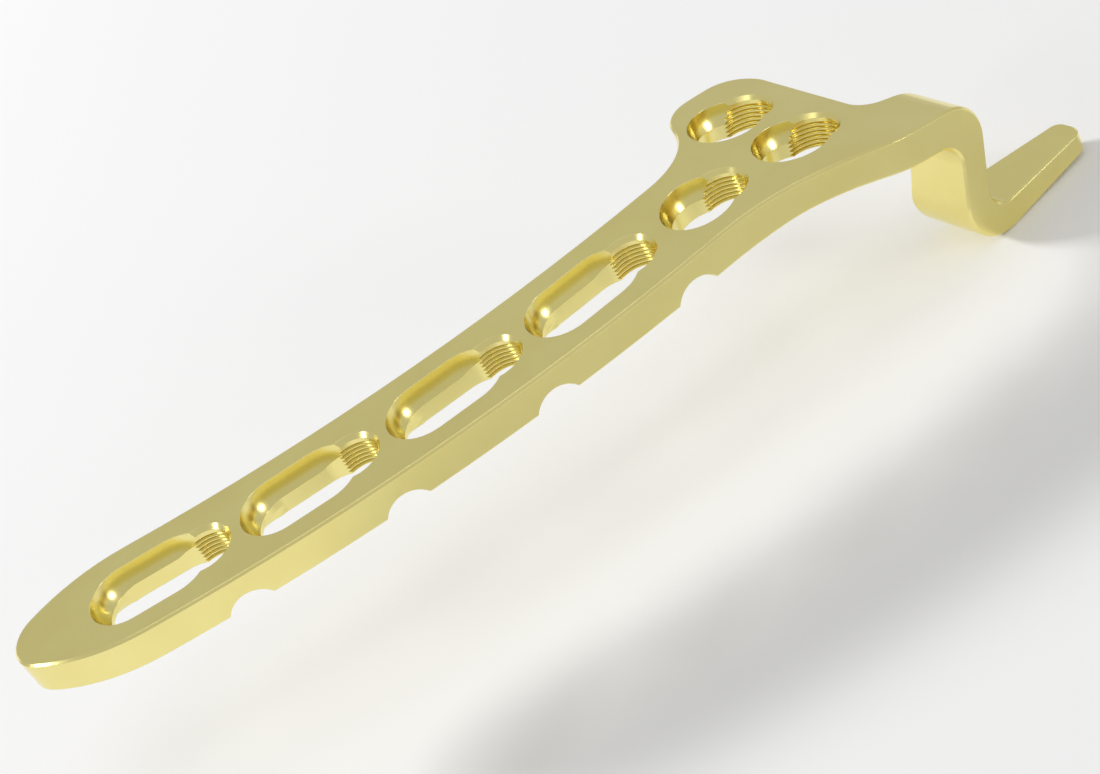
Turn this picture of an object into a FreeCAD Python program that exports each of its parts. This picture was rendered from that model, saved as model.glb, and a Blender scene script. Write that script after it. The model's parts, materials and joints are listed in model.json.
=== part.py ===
import FreeCAD, Part
import math
import os

V = FreeCAD.Vector

# Lengths in millimetres, angles in degrees.
# The origin lies on the axis of the first threaded hole, on the face that rests on the bone.
# X follows the shaft there and points to the hook, Z points away from the bone.

# Shaft
thickness = 3.3
shaft_width = 11.5
shaft_curve = 174.4        # radius of the centreline in plan
hole_pitch = 14.0          # along the centreline
slot_count = 4
tip_reach = 17.4           # from the first threaded axis to the tip
nose_radius = 3.5
flank_radius = 17.5

# Screw holes: a wide end for a plain screw joined to a threaded end for a locking screw
seat_radius = 3.43         # half the width of the seat at the top face
seat_lift = 0.1            # of the seat's centre above the top face
seat_travel = 4.1          # straight run of a slot's seat
slot_thread_gap = 2.87     # from the seat's near centre to the threaded axis in a slot
hole_thread_gap = 2.21     # the same in a head hole
through_radius = 2.85      # half the width of the opening under the seat
through_far = 6.75         # from the threaded axis to the centres of the opening's round ends
through_near = 2.35
undercut_angle = 62.0      # lean of the undercut below a slot's far end
undercut_height = 0.75
bore_radius = 2.35         # threaded end
rim_radius = 2.69          # chamfer around it
rim_depth = 0.4

# Reliefs in both lower edges, a pair beside each threaded hole of the shaft
relief_radius = 2.4
relief_depth = 1.42        # at the edge
relief_reach = 3.0         # inwards from the edge, where the depth runs out
relief_shift = 1.65        # past the first threaded axis
relief_pitch = 14.15

# Head, measured from the last slot's threaded axis: u along the head, w across it
head_turn = 7.7            # from the shaft's direction there to the head's
bend_start = 6.7
bend_radius = 61.1
bend_angle = 15.5
under_bend_radius = 28.0
lobe_end = 24.1            # u of the lobe's edge on the hook's side
lobe_side = 11.9           # w of the lobe's outer edge
lobe_corner_radius = 3.8
lobe_shoulder_radius = 4.0
lobe_back = 9.62           # along the shaft's direction at the origin
neck_radius = 6.6
throat_start = 5.2         # along the centreline
throat_radius = 37.0
throat_turn = -21.0
throat_end_radius = 8.0
head_holes = ((9.6, -1.6, -9.5), (19.2, 5.5, -1.8), (19.4, -2.65, -1.2))

# Hook
strip_near = -11.37        # w of the hook's straight side
root_width = 7.2           # where the hook leaves the lobe
armpit_radius = 2.2
crest_end = 30.5           # u where the strip's top meets the web's back
crest_outer_radius = 3.8
crest_inner_radius = 2.3
web_thickness = 2.75
web_lean = 16.5
hook_drop = 12.05          # from the bone face down to the blade's root
lower_inner_radius = 1.9
lower_outer_radius = 4.1
blade_end = 39.55
blade_thickness = 2.9      # at the web's back
blade_slope = 1.4
blade_taper = 3.8
blade_end_width = 2.95     # between the sharp corners
blade_corner_share = 0.42  # each corner's radius over that width
blade_bevel = 0.7          # under the blade's end

edge_bevel = 0.2
margin = 10.0              # how far the blocks that shape the plate reach past it


def unit(angle):
    a = math.radians(angle)
    return V(math.cos(a), math.sin(a), 0)


def meet(p, angle_p, q, angle_q):
    """Point where the line through p at angle_p meets the line through q at angle_q."""
    d = unit(angle_p)
    e = unit(angle_q)
    cross = d.x * e.y - d.y * e.x
    s = ((q.x - p.x) * e.y - (q.y - p.y) * e.x) / cross
    return p + d * s


def arc_about(centre, start, end):
    """Short arc from start to end about centre."""
    middle = (start - centre) + (end - centre)
    middle.normalize()
    middle.multiply((start - centre).Length)
    return Part.Arc(start, centre + middle, end).toShape()


def corner_arc(before, corner, after, radius):
    """Tangent points and arc that round one corner."""
    a = (before - corner).normalize()
    b = (after - corner).normalize()
    half = a.getAngle(b) / 2
    reach = radius / math.tan(half)
    centre = corner + (a + b).normalize() * (radius / math.sin(half))
    start = corner + a * reach
    end = corner + b * reach
    return start, arc_about(centre, start, end), end


def rounded_run(first, corners, last):
    """Edges from first to last past the given (corner, radius) pairs; radius 0 keeps a corner sharp."""
    points = [first] + [c[0] for c in corners] + [last]
    edges = []
    here = first
    for i, (corner, radius) in enumerate(corners):
        if radius == 0:
            edges.append(Part.makeLine(here, corner))
            here = corner
            continue
        start, arc, end = corner_arc(points[i], corner, points[i + 2], radius)
        edges.append(Part.makeLine(here, start))
        edges.append(arc)
        here = end
    edges.append(Part.makeLine(here, last))
    return edges


half_width = shaft_width / 2
curve_centre = V(0, shaft_curve, 0)


def turn_at(distance):
    """Direction of the shaft's centreline at a distance along it."""
    return math.degrees(distance / shaft_curve)


def on_curve(distance, offset=0.0):
    """Point beside the centreline; a positive offset lies towards the centre of the curve."""
    return curve_centre + unit(turn_at(distance) - 90) * (shaft_curve - offset)


last_slot = hole_pitch * (slot_count - 1)
shaft_reach = last_slot + tip_reach
head_angle = turn_at(last_slot) + head_turn
head_origin = on_curve(last_slot)


def head_point(u, w):
    return head_origin + unit(head_angle) * u + unit(head_angle + 90) * w


def flank(offset):
    """Arc from the nose to one edge of the shaft: its centre, nose end and edge end."""
    side = 1 if offset > 0 else -1
    nose = on_curve(nose_radius - tip_reach)
    to_nose = shaft_curve
    to_flank = shaft_curve - offset + side * flank_radius
    reach = flank_radius - nose_radius
    cosine = (to_nose ** 2 + to_flank ** 2 - reach ** 2) / (2 * to_nose * to_flank)
    turn = turn_at(nose_radius - tip_reach) + math.degrees(math.acos(cosine))
    centre = curve_centre + unit(turn - 90) * to_flank
    edge_end = curve_centre + unit(turn - 90) * (shaft_curve - offset)
    nose_end = nose + (nose - centre).normalize() * nose_radius
    return centre, nose_end, edge_end


def plan_face():
    near = shaft_curve + half_width
    far = shaft_curve - half_width
    near_flank, near_nose, near_edge = flank(-half_width)
    far_flank, far_nose, far_edge = flank(half_width)
    nose = on_curve(nose_radius - tip_reach)

    # near edge, then the throat that turns away from the shaft's curve
    throat_from = turn_at(last_slot + throat_start)
    p1 = curve_centre + unit(throat_from - 90) * near
    throat_centre = curve_centre + unit(throat_from - 90) * (near + throat_radius)
    throat_angle = head_angle + throat_turn
    p2 = throat_centre + unit(throat_angle + 90) * throat_radius

    # far edge and the neck up to the lobe's back
    back_x = head_origin.x + lobe_back
    neck_x = back_x - neck_radius
    neck_y = shaft_curve - math.sqrt((far - neck_radius) ** 2 - neck_x ** 2)
    neck_centre = V(neck_x, neck_y, 0)
    p3 = V(back_x, neck_y, 0)
    p4 = curve_centre + (neck_centre - curve_centre).normalize() * far

    side = head_point(0, strip_near)
    root_far = head_point(lobe_end, strip_near + root_width)
    end_far = head_point(blade_end, strip_near + blade_end_width)
    blade_corner = blade_end_width * blade_corner_share
    corners = [
        (meet(p2, throat_angle, side, head_angle), throat_end_radius),
        (head_point(blade_end, strip_near), blade_corner),
        (end_far, blade_corner),
        (root_far, armpit_radius),
        (head_point(lobe_end, lobe_side), lobe_corner_radius),
        (meet(head_point(0, lobe_side), head_angle, p3, 90), lobe_shoulder_radius),
    ]
    edges = [arc_about(near_flank, near_nose, near_edge)]
    edges.append(arc_about(curve_centre, near_edge, p1))
    edges.append(arc_about(throat_centre, p1, p2))
    edges += rounded_run(p2, corners, p3)
    edges.append(arc_about(neck_centre, p3, p4))
    edges.append(arc_about(curve_centre, p4, far_edge))
    edges.append(arc_about(far_flank, far_edge, far_nose))
    nose_tip = on_curve(-tip_reach)
    edges.append(Part.Arc(far_nose, nose_tip, near_nose).toShape())
    return Part.Face(Part.Wire(edges))


def side_face():
    """Side profile in the plane of u and z, drawn with z as its second coordinate."""
    run_in = shaft_reach + margin
    strip = -bend_angle
    web = -90 - web_lean
    bend_reach = bend_radius * math.tan(math.radians(bend_angle / 2))
    top_bend = V(bend_start + bend_reach, thickness, 0)
    under_start = top_bend + unit(strip - 90) * thickness
    under_bend = meet(V(0, 0, 0), 0, under_start, strip)
    crest = meet(top_bend, strip, V(crest_end, 0, 0), 90)
    web_inner = crest + unit(web - 90) * web_thickness
    root = meet(crest, web, V(0, -hook_drop, 0), 0)
    under_root = root + V(0, -blade_thickness, 0)
    under_slope = blade_taper - blade_slope
    end_top = meet(root, -blade_slope, V(blade_end, 0, 0), 90)
    end_under = meet(under_root, under_slope, V(blade_end, 0, 0), 90)
    corners = [
        (top_bend, bend_radius),
        (crest, crest_outer_radius),
        (root, lower_inner_radius),
        (end_top, 0),
        (end_under + V(0, blade_bevel, 0), 0),
        (end_under - unit(under_slope) * blade_bevel, 0),
        (meet(web_inner, web, under_root, under_slope), lower_outer_radius),
        (meet(web_inner, web, under_start, strip), crest_inner_radius),
        (under_bend, under_bend_radius),
    ]
    top_start = V(-run_in, thickness, 0)
    under_end = V(-run_in, 0, 0)
    edges = rounded_run(top_start, corners, under_end)
    edges.append(Part.makeLine(under_end, top_start))
    return Part.Face(Part.Wire(edges))


def blank():
    """Plate and hook before any hole: the plan and the side profile taken together."""
    depth = hook_drop + blade_thickness + margin
    plan = plan_face()
    plan.translate(V(0, 0, -depth))
    block = plan.extrude(V(0, 0, depth + thickness + margin))
    band = side_face().extrude(V(0, 0, 2 * shaft_reach))
    band.rotate(V(0, 0, 0), V(1, 0, 0), 90)
    band.translate(V(0, shaft_reach, 0))
    band.rotate(V(0, 0, 0), V(0, 0, 1), head_angle)
    band.translate(head_origin)
    return block.common(band)


def stadium(start, end, radius, low, height):
    """Upright prism with round ends, its centres on the X axis."""
    tool = Part.makeCylinder(radius, height, V(start, 0, low))
    tool = tool.fuse(Part.makeCylinder(radius, height, V(end, 0, low)))
    tool = tool.fuse(Part.makeBox(end - start, 2 * radius, height, V(start, -radius, low)))
    return tool.removeSplitter()


def seat(travel):
    """Ball seat for a screw head, drawn out along X by travel."""
    radius = math.hypot(seat_radius, seat_lift)
    start = V(-travel, 0, seat_lift)
    tool = Part.makeSphere(radius, V(0, 0, seat_lift))
    if travel > 0:
        tool = tool.fuse(Part.makeSphere(radius, start))
        tool = tool.fuse(Part.makeCylinder(radius, travel, start, V(1, 0, 0)))
    return tool


def undercut():
    """Room for a plain screw that leans: the opening's far end, drawn down and away from the thread."""
    run = 2 * thickness
    start = V(-through_far, 0, undercut_height - thickness)
    end = Part.Face(Part.Wire(Part.makeCircle(through_radius, start)))
    return end.extrude(V(-run * math.tan(math.radians(undercut_angle)), 0, -run))


def slot_tool():
    """Wide end of a slot, with the threaded axis and the top face at the origin."""
    tool = seat(seat_travel)
    tool.translate(V(-slot_thread_gap, 0, 0))
    tool = tool.fuse(stadium(-through_far, -through_near, through_radius, -2 * thickness, 4 * thickness))
    return tool.fuse(undercut())


def hole_tool():
    """Wide end of a head hole, with the threaded axis and the top face at the origin."""
    tool = seat(0)
    tool = tool.fuse(Part.makeCylinder(through_radius, 4 * thickness, V(0, 0, -2 * thickness)))
    tool.translate(V(-hole_thread_gap, 0, 0))
    return tool


def thread_tool():
    """Threaded end of a hole: rim chamfer and bore, turned about Z."""
    low = -2 * thickness
    top = 2 * thickness
    points = [V(0, 0, top), V(rim_radius + top, 0, top), V(rim_radius, 0, 0)]
    points += [V(bore_radius, 0, -rim_depth), V(bore_radius, 0, low), V(0, 0, low), V(0, 0, top)]
    return Part.Face(Part.makePolygon(points)).revolve(V(0, 0, 0), V(0, 0, 1), 360)


def put(tool, point, direction, tilt):
    """Copy of a tool on the top face; the tilt follows the head where it bends down."""
    tool = tool.copy()
    tool.rotate(V(0, 0, 0), V(0, 0, 1), direction - head_angle)
    tool.rotate(V(0, 0, 0), V(0, 1, 0), tilt)
    tool.rotate(V(0, 0, 0), V(0, 0, 1), head_angle)
    tool.translate(point)
    return tool


def top_face_at(u):
    """Height of the top face and its slope in degrees at a distance along the head."""
    slope = math.degrees(math.asin(max(u - bend_start, 0) / bend_radius))
    slope = min(slope, bend_angle)
    height = thickness - bend_radius * (1 - math.cos(math.radians(slope)))
    past = u - bend_start - bend_radius * math.sin(math.radians(slope))
    height -= max(past, 0) * math.tan(math.radians(slope))
    return height, slope


def hole_places():
    """Point, direction and tilt of every threaded axis, slots first."""
    places = []
    for i in range(slot_count):
        along = i * hole_pitch
        places.append((on_curve(along) + V(0, 0, thickness), turn_at(along), 0))
    for u, w, turn in head_holes:
        height, slope = top_face_at(u)
        places.append((head_point(u, w) + V(0, 0, height), head_angle + turn, slope))
    return places


def reliefs():
    """Round-topped notches that slope from the bone face up to the edges."""
    slope = math.atan2(relief_depth, relief_reach)
    tools = []
    for i in range(slot_count):
        along = i * relief_pitch + relief_shift
        for side in (-1, 1):
            out = unit(turn_at(along) + 90) * side
            axis = out * math.cos(slope) + V(0, 0, math.sin(slope))
            across = V(0, 0, math.cos(slope)) - out * math.sin(slope)
            run_out = on_curve(along, side * (half_width - relief_reach))
            start = run_out - across * relief_radius - axis * relief_reach
            tools.append(Part.makeCylinder(relief_radius, 4 * relief_reach, start, axis))
    return tools


def outer_edges(shape):
    """Edges between the upright walls of the plan and the faces of the side profile."""
    found = []
    for edge in shape.Edges:
        a, b = shape.ancestorsOfType(edge, Part.Face)
        if upright(a) != upright(b) and not on_bevel(a) and not on_bevel(b):
            found.append(edge)
    return found


def on_bevel(face):
    """True for the small bevel under the blade's end, which has its own slope."""
    u = (face.CenterOfMass - head_origin).dot(unit(head_angle))
    return u > blade_end - blade_bevel and not upright(face)


def upright(face):
    """True for a wall that rises along Z from the plan's outline."""
    u0, u1, v0, v1 = face.ParameterRange
    return all(abs(face.normalAt(u0 + (u1 - u0) * s, (v0 + v1) / 2).z) < 1e-4 for s in (0.1, 0.5, 0.9))


def plate():
    body = blank()
    body = body.makeChamfer(edge_bevel, outer_edges(body))
    places = hole_places()
    wide = [put(slot_tool(), *p) for p in places[:slot_count]]
    wide += [put(hole_tool(), *p) for p in places[slot_count:]]
    for tool in wide + reliefs():
        body = body.cut(tool)
    for place in places:
        body = body.cut(put(thread_tool(), *place))
    return body


os.makedirs("parts", exist_ok=True)
hook_plate = plate()
hook_plate.exportStep("parts/hook_plate.step")
print('hook_plate', hook_plate.isValid(), len(hook_plate.Solids), round(hook_plate.Volume, 1), hook_plate.BoundBox)
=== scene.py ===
import json
import math
import bmesh
import bpy
from mathutils import Matrix, Vector


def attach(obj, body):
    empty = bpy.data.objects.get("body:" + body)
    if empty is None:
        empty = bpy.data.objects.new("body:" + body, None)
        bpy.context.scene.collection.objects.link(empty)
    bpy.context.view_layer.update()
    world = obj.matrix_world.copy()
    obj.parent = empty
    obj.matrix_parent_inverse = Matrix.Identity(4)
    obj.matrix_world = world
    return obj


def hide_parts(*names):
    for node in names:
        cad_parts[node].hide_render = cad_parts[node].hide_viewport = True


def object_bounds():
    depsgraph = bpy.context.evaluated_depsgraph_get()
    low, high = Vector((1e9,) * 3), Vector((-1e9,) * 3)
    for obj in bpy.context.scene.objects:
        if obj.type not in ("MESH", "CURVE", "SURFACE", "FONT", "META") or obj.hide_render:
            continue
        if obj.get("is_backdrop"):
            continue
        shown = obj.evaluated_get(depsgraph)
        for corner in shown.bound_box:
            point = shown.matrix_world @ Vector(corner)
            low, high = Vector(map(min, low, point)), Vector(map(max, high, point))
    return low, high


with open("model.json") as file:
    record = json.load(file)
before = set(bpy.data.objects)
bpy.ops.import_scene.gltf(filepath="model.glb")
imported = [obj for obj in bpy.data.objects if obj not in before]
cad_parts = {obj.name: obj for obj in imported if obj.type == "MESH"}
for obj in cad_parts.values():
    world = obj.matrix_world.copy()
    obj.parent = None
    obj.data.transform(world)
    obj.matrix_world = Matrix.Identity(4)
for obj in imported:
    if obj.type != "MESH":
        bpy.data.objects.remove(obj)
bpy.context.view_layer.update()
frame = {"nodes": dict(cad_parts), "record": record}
mm = 0.001
print("frame loaded")


# shader helpers

class Wire:  # a node's socket, so that shader maths reads as plain expressions
    def __init__(self, tree, socket):
        self.tree = tree
        self.socket = socket

    def output(self, key):  # another output of the same node, by name or number
        return Wire(self.tree, self.socket.node.outputs[key])

    def maths(self, operation, first, second):
        node = self.tree.nodes.new("ShaderNodeMath")
        node.operation = operation
        plug(self.tree, node.inputs[0], first)
        plug(self.tree, node.inputs[1], second)
        return Wire(self.tree, node.outputs[0])

    def clamped(self):
        raised = self.maths("MAXIMUM", self, 0.0)
        return self.maths("MINIMUM", raised, 1.0)

    def __add__(self, other):
        return self.maths("ADD", self, other)

    def __radd__(self, other):
        return self.maths("ADD", other, self)

    def __sub__(self, other):
        return self.maths("SUBTRACT", self, other)

    def __rsub__(self, other):
        return self.maths("SUBTRACT", other, self)

    def __mul__(self, other):
        return self.maths("MULTIPLY", self, other)

    def __rmul__(self, other):
        return self.maths("MULTIPLY", other, self)


def plug(tree, socket, value):
    if isinstance(value, Wire):
        tree.links.new(value.socket, socket)
    else:
        socket.default_value = value


class Shader:  # the node tree of a material or a world
    def __init__(self, owner):
        owner.use_nodes = True
        self.tree = owner.node_tree
        self.tree.nodes.clear()

    # inputs go by name, with _ for a space, or by number as i0, i1 and so on
    def node(self, kind, settings=None, **inputs):
        made = self.tree.nodes.new("ShaderNode" + kind)
        for key, value in (settings or {}).items():
            setattr(made, key, value)
        for key, value in inputs.items():
            numbered = key[0] == "i" and key[1:].isdigit()
            socket = made.inputs[int(key[1:]) if numbered else key.replace("_", " ")]
            plug(self.tree, socket, value)
        return Wire(self.tree, made.outputs[0]) if made.outputs else None

    def mixColour(self, factor, first, second):  # a Mix node has its colours at 6 and 7, and the result at 2
        return self.node("Mix", {"data_type": "RGBA"}, i0=factor, i6=first, i7=second).output(2)

    def seen(self):  # 1 for what the camera sees, straight or in metal and glass
        camera = self.node("LightPath")
        return (camera + camera.output("Is Glossy Ray") + camera.output("Is Transmission Ray")).clamped()


def placed(name, data):
    made = bpy.data.objects.new(name, data)
    bpy.context.scene.collection.objects.link(made)
    return made


def meshObject(name, vertices, faces):
    mesh = bpy.data.meshes.new(name)
    mesh.from_pydata([tuple(v) for v in vertices], [], faces)
    mesh.update()
    return placed(name, mesh)


# gold anodised titanium, and for the thread grooves the same painted deeper and more saturated, as painted
# shade

titanium = {
    "colour": (0.93, 0.83, 0.34, 1.0),
    "deepColour": (0.88, 0.77, 0.29, 1.0),
    # the pale edge colour is a painted highlight along every edge
    "edgeHighlightColour": (1.0, 0.94, 0.60, 1.0),
    "edgeHighlightStart": 0.025,       # how far a normal turns before the painted edge highlight begins
    "edgeHighlightGain": 6.0,
    "roughness": 0.21,
    "roughnessChange": 0.06,
    "cloudSize": 7.0,         # mm
    "cloudStart": 0.35,
    "cloudGain": 2.2,
    "grainSize": 0.10,        # mm
    "grainHeight": 0.0006,    # mm
    "edgeSoftness": 0.06,     # mm
    "threadSoftness": 0.015,  # mm
}

groovePaintedShade = dict(titanium)
# painted shade: the grooves' colours are deeper and more saturated than the plain metal
groovePaintedShade["colour"] = (0.86, 0.70, 0.16, 1.0)
groovePaintedShade["deepColour"] = (0.80, 0.63, 0.13, 1.0)
# a painted highlight, paler gold, along the thread edges
groovePaintedShade["edgeHighlightColour"] = (1.0, 0.92, 0.52, 1.0)


def titaniumMaterial(name, look, softness):
    material = bpy.data.materials.new(name)
    shader = Shader(material)
    place = shader.node("TexCoord").output("Object")
    cloudScale = 1 / (look["cloudSize"] * mm)
    grainScale = 1 / (look["grainSize"] * mm)
    clouds = shader.node("TexNoise", Vector=place, Scale=cloudScale, Detail=3.0, Roughness=0.55)
    grain = shader.node("TexNoise", Vector=place, Scale=grainScale, Detail=2.0, Roughness=0.6)
    # a painted highlight pales the edges, which are where the rounded normal leaves the surface's own
    rounded = shader.node("Bevel", {"samples": 8}, Radius=softness * mm)
    own = shader.node("NewGeometry").output("Normal")
    agree = shader.node("VectorMath", {"operation": "DOT_PRODUCT"}, i0=rounded, i1=own).output("Value")
    edgeHighlight = ((1 - look["edgeHighlightStart"] - agree) * look["edgeHighlightGain"]).clamped()
    tint = ((clouds - look["cloudStart"]) * look["cloudGain"]).clamped()
    body = shader.mixColour(tint, look["colour"], look["deepColour"])
    # the edges take the painted highlight colour
    colour = shader.mixColour(edgeHighlight, body, look["edgeHighlightColour"])
    rough = look["roughness"] + (grain + clouds - 1) * look["roughnessChange"]
    bump = shader.node("Bump", Strength=1.0, Distance=look["grainHeight"] * mm, Height=grain, Normal=rounded)
    metal = shader.node("BsdfPrincipled", Base_Color=colour, Metallic=1.0, Roughness=rough, Normal=bump)
    shader.node("OutputMaterial", Surface=metal)
    return material


# plate: the CAD mesh with its threads cut

plate = {                     # mm
    "thickness": 3.3,
    "rim": 0.4,               # depth of the chamfer above each thread
    "pitch": 0.4,
    "crest": 2.35,            # radii of the thread
    "root": 2.62,
    "flat": 0.21,             # share of the pitch left at the crest
    "start": 0.7,             # pitches from the rim to the middle of the first groove
    "overlap": 0.04,          # the cutter reaches this far into the hole
    "past": 1.0,              # and at least this far past the bone face
    "steps": 72,              # a turn
    "fromCrest": 0.95,        # shares of the two radii, for the faces that count as thread
    "toRoot": 1.05,
    "weld": 0.0005,
    "sharpAngle": 28,         # degrees
}

holes = [m for m in frame["record"]["mounts"] if m["name"].startswith(("screw_slot", "head_hole"))]


def threadCutter(name, look):  # closed helical ridge around Z, from the rim to past the bone face
    width = look["pitch"] * (1 - look["flat"]) / 2
    inner = look["crest"] - look["overlap"]
    half = width * (look["root"] - inner) / (look["root"] - look["crest"])
    top = -look["rim"] - look["pitch"] * look["start"]
    turns = math.ceil((look["thickness"] + look["past"]) / look["pitch"])
    count = turns * look["steps"]
    vertices, faces = [], []
    for i in range(count + 1):
        angle = 2 * math.pi * i / look["steps"]
        z = top - look["pitch"] * i / look["steps"]
        out = Vector((math.cos(angle), math.sin(angle), 0))
        vertices.append(out * inner + Vector((0, 0, z + half)))
        vertices.append(out * look["root"] + Vector((0, 0, z)))
        vertices.append(out * inner + Vector((0, 0, z - half)))
    for i in range(count):
        a, b = 3 * i, 3 * i + 3
        for k in range(3):
            n = (k + 1) % 3
            faces.append((a + k, b + k, b + n, a + n))
    faces.append((0, 1, 2))
    faces.append((3 * count + 2, 3 * count + 1, 3 * count))
    made = meshObject(name, vertices, faces)
    solid = bmesh.new()
    solid.from_mesh(made.data)
    bmesh.ops.recalc_face_normals(solid, faces=solid.faces)
    solid.to_mesh(made.data)
    solid.free()
    return made


# every face carries the number of the CAD triangle that it comes from, or 0 if a cutter made it
def numberFaces(mesh, numbers):
    mark = mesh.attributes.new("source", "INT", "FACE")
    mark.data.foreach_set("value", numbers)


def cutThreads(body, look):
    for i, hole in enumerate(holes):
        axis = Vector(hole["axis"])
        cutter = threadCutter(f"cutter{i}", look)
        turn = axis.to_track_quat("Z", "X").to_matrix().to_4x4()
        top = Vector(hole["pos_m"]) + axis * look["thickness"] * mm
        cutter.data.transform(Matrix.Translation(top) @ turn @ Matrix.Scale(mm, 4))
        numberFaces(cutter.data, [0] * len(cutter.data.polygons))
        step = body.modifiers.new(f"thread {i}", "BOOLEAN")
        step.operation = "DIFFERENCE"
        step.solver = "EXACT"
        step.object = cutter
        bake(body)
        bpy.data.objects.remove(cutter)
    print("threads cut:", len(holes))


def bake(thing):  # applies every modifier on a piece
    bpy.context.view_layer.update()
    graph = bpy.context.evaluated_depsgraph_get()
    mesh = bpy.data.meshes.new_from_object(thing.evaluated_get(graph))
    thing.modifiers.clear()
    thing.data = mesh


def onThread(place, look):
    for hole in holes:
        away = place - Vector(hole["pos_m"])
        axis = Vector(hole["axis"])
        radius = (away - axis * away.dot(axis)).length / mm
        if look["fromCrest"] * look["crest"] < radius < look["toRoot"] * look["root"]:
            return True
    return False


def cornersOf(mesh):  # each triangle's corner points and their normals
    corners = []
    for polygon in mesh.polygons:
        points = [mesh.vertices[i].co.copy() for i in polygon.vertices]
        directions = [mesh.corner_normals[i].vector.copy() for i in polygon.loop_indices]
        corners.append((points, directions))
    return corners


def weldedCopy(mesh, look):
    copied = mesh.copy()
    numberFaces(copied, range(1, len(copied.polygons) + 1))
    welded = bmesh.new()
    welded.from_mesh(copied)
    bmesh.ops.remove_doubles(welded, verts=welded.verts, dist=look["weld"] * mm)
    welded.to_mesh(copied)
    welded.free()
    return copied


tooThin = 1e-24  # m4, the square of twice the area of a triangle with no inside


def blend(place, points, directions):  # normal inside a triangle, from those at its corners
    a, b, c = points
    whole = (b - a).cross(c - a)
    square = whole.length_squared
    if square < tooThin:
        return directions[0]
    v = min(max((place - a).cross(c - a).dot(whole) / square, 0), 1)
    w = min(max((b - a).cross(place - a).dot(whole) / square, 0), 1)
    return (directions[0] * max(1 - v - w, 0) + directions[1] * v + directions[2] * w).normalized()


# faces that come from the CAD mesh keep its normals, and a zero leaves a cut face its own
def exactNormals(mesh, corners):
    source = mesh.attributes["source"].data
    normals = []
    for polygon in mesh.polygons:
        found = source[polygon.index].value
        for i in polygon.vertices:
            if found == 0:
                normals.append((0.0, 0.0, 0.0))
            else:
                points, directions = corners[found - 1]
                normals.append(blend(mesh.vertices[i].co, points, directions))
    mesh.normals_split_custom_set(normals)


def addMaterials(mesh, look):  # plain faces, CAD faces near a thread, and the cut grooves
    mesh.materials.append(titaniumMaterial("anodised titanium", titanium, titanium["edgeSoftness"]))
    mesh.materials.append(titaniumMaterial("threaded titanium", titanium, titanium["threadSoftness"]))
    mesh.materials.append(titaniumMaterial("thread grooves in painted shade", groovePaintedShade, titanium["threadSoftness"]))
    source = mesh.attributes["source"].data
    for polygon in mesh.polygons:
        cut = source[polygon.index].value == 0
        polygon.material_index = 2 if cut else int(onThread(polygon.center, look))


def makePlate(look):
    source = frame["nodes"]["hook_plate"].data
    corners = cornersOf(source)
    body = placed("plate", weldedCopy(source, look))
    body.data.materials.clear()
    cutThreads(body, look)
    for polygon in body.data.polygons:
        polygon.use_smooth = True
    body.data.set_sharp_from_angle(angle=math.radians(look["sharpAngle"]))
    exactNormals(body.data, corners)
    body.data.materials.clear()
    addMaterials(body.data, look)
    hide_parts("hook_plate")
    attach(body, "root")


makePlate(plate)
print("plate made")


# stage, light and camera

stage = {
    "floorColour": (0.86, 0.86, 0.86, 1.0),
    "white": (1.0, 1.0, 1.0, 1.0),
    "shownWhite": 0.07,       # light added to the floor as the camera and the metal see it
    "floorSize": 4.0,         # m
    "sky": 0.37,
    "shownSky": 0.18,         # added to the sky in the same way
}


def makeFloor(look):
    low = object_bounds()[0].z
    half = look["floorSize"] / 2
    corners = [(-half, -half, low), (half, -half, low), (half, half, low), (-half, half, low)]
    floor = meshObject("floor", corners, [(0, 1, 2, 3)])
    material = bpy.data.materials.new("pale floor")
    shader = Shader(material)
    plain = shader.node("BsdfDiffuse", Color=look["floorColour"])
    glow = shader.node("Emission", Color=look["white"], Strength=look["shownWhite"])
    both = shader.node("AddShader", i0=plain, i1=glow)
    shader.node("OutputMaterial", Surface=shader.node("MixShader", i0=shader.seen(), i1=plain, i2=both))
    floor.data.materials.append(material)
    floor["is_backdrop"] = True


def makeWorld(look):
    world = bpy.data.worlds.new("studio")
    bpy.context.scene.world = world
    shader = Shader(world)
    strength = look["sky"] + shader.seen() * look["shownSky"]
    shader.node("OutputWorld", Surface=shader.node("Background", Color=look["white"], Strength=strength))


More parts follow.
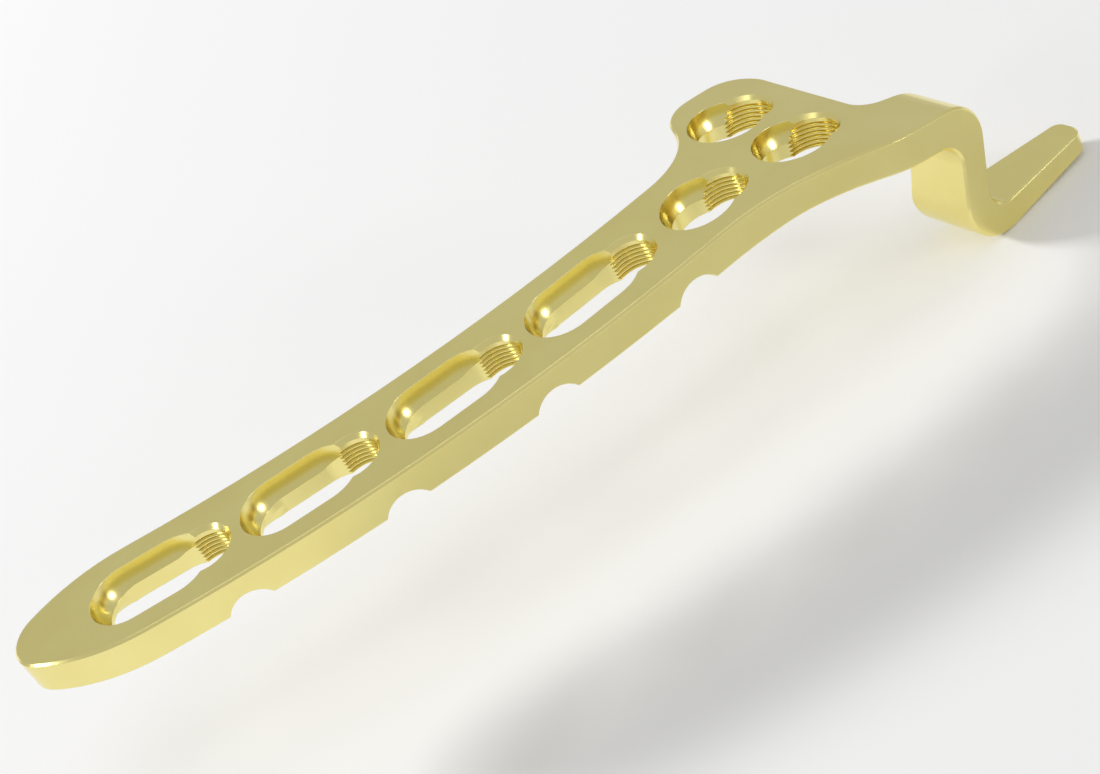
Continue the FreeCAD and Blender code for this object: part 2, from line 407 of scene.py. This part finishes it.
target = (0.035, 0.006, 0.0)
lights = [  # W, m and degrees, placed around the target
    {"name": "rear soft box", "power": 12.5, "size": (0.28, 0.13),
     "azimuth": 142, "elevation": 24, "distance": 1.2, "mirrored": False},
    {"name": "overhead soft box", "power": 1.4, "size": (0.7, 0.7),
     "azimuth": -90, "elevation": 84, "distance": 0.9},
    {"name": "front right soft box", "power": 0.5, "size": (0.15, 0.15),
     "azimuth": -40, "elevation": 13, "distance": 0.6},
    {"name": "tip side soft box", "power": 0.28, "size": (0.09, 0.11),
     "azimuth": -175, "elevation": 28, "distance": 0.6},
]


def makeLight(name, power, size, azimuth, elevation, distance, mirrored=True):
    a, e = math.radians(azimuth), math.radians(elevation)
    away = Vector((math.cos(a) * math.cos(e), math.sin(a) * math.cos(e), math.sin(e)))
    data = bpy.data.lights.new(name, "AREA")
    data.shape = "RECTANGLE"
    data.size, data.size_y = size
    data.energy = power
    lamp = placed(name, data)
    lamp.location = Vector(target) + away * distance
    lamp.rotation_mode = "QUATERNION"
    lamp.rotation_quaternion = (-away).to_track_quat("-Z", "Y")
    lamp.visible_glossy = mirrored  # the rear one would leave hard spots in the seats


view = {
    "place": (0.03069, -0.14501, 0.10741),  # m
    "right": (0.8617, -0.30296, -0.40705),  # the picture's right and down
    "down": (-0.50742, -0.51449, -0.69125),
    "lens": 72.69,                          # mm
    "sensor": 36.0,                         # mm
    "near": 0.01,                           # m
    "far": 50.0,                            # m
}


def makeCamera(look):
    data = bpy.data.cameras.new("camera")
    data.sensor_width = look["sensor"]
    data.lens = look["lens"]
    data.clip_start = look["near"]
    data.clip_end = look["far"]
    camera = placed("camera", data)
    right, down = Vector(look["right"]), Vector(look["down"])
    turn = Matrix((right, -down, -right.cross(down))).transposed().to_4x4()
    camera.matrix_world = Matrix.Translation(look["place"]) @ turn
    bpy.context.scene.camera = camera


makeFloor(stage)
makeWorld(stage)
for light in lights:
    makeLight(**light)
makeCamera(view)
bpy.context.scene.view_settings.view_transform = "Standard"
print("stage, light and camera made")
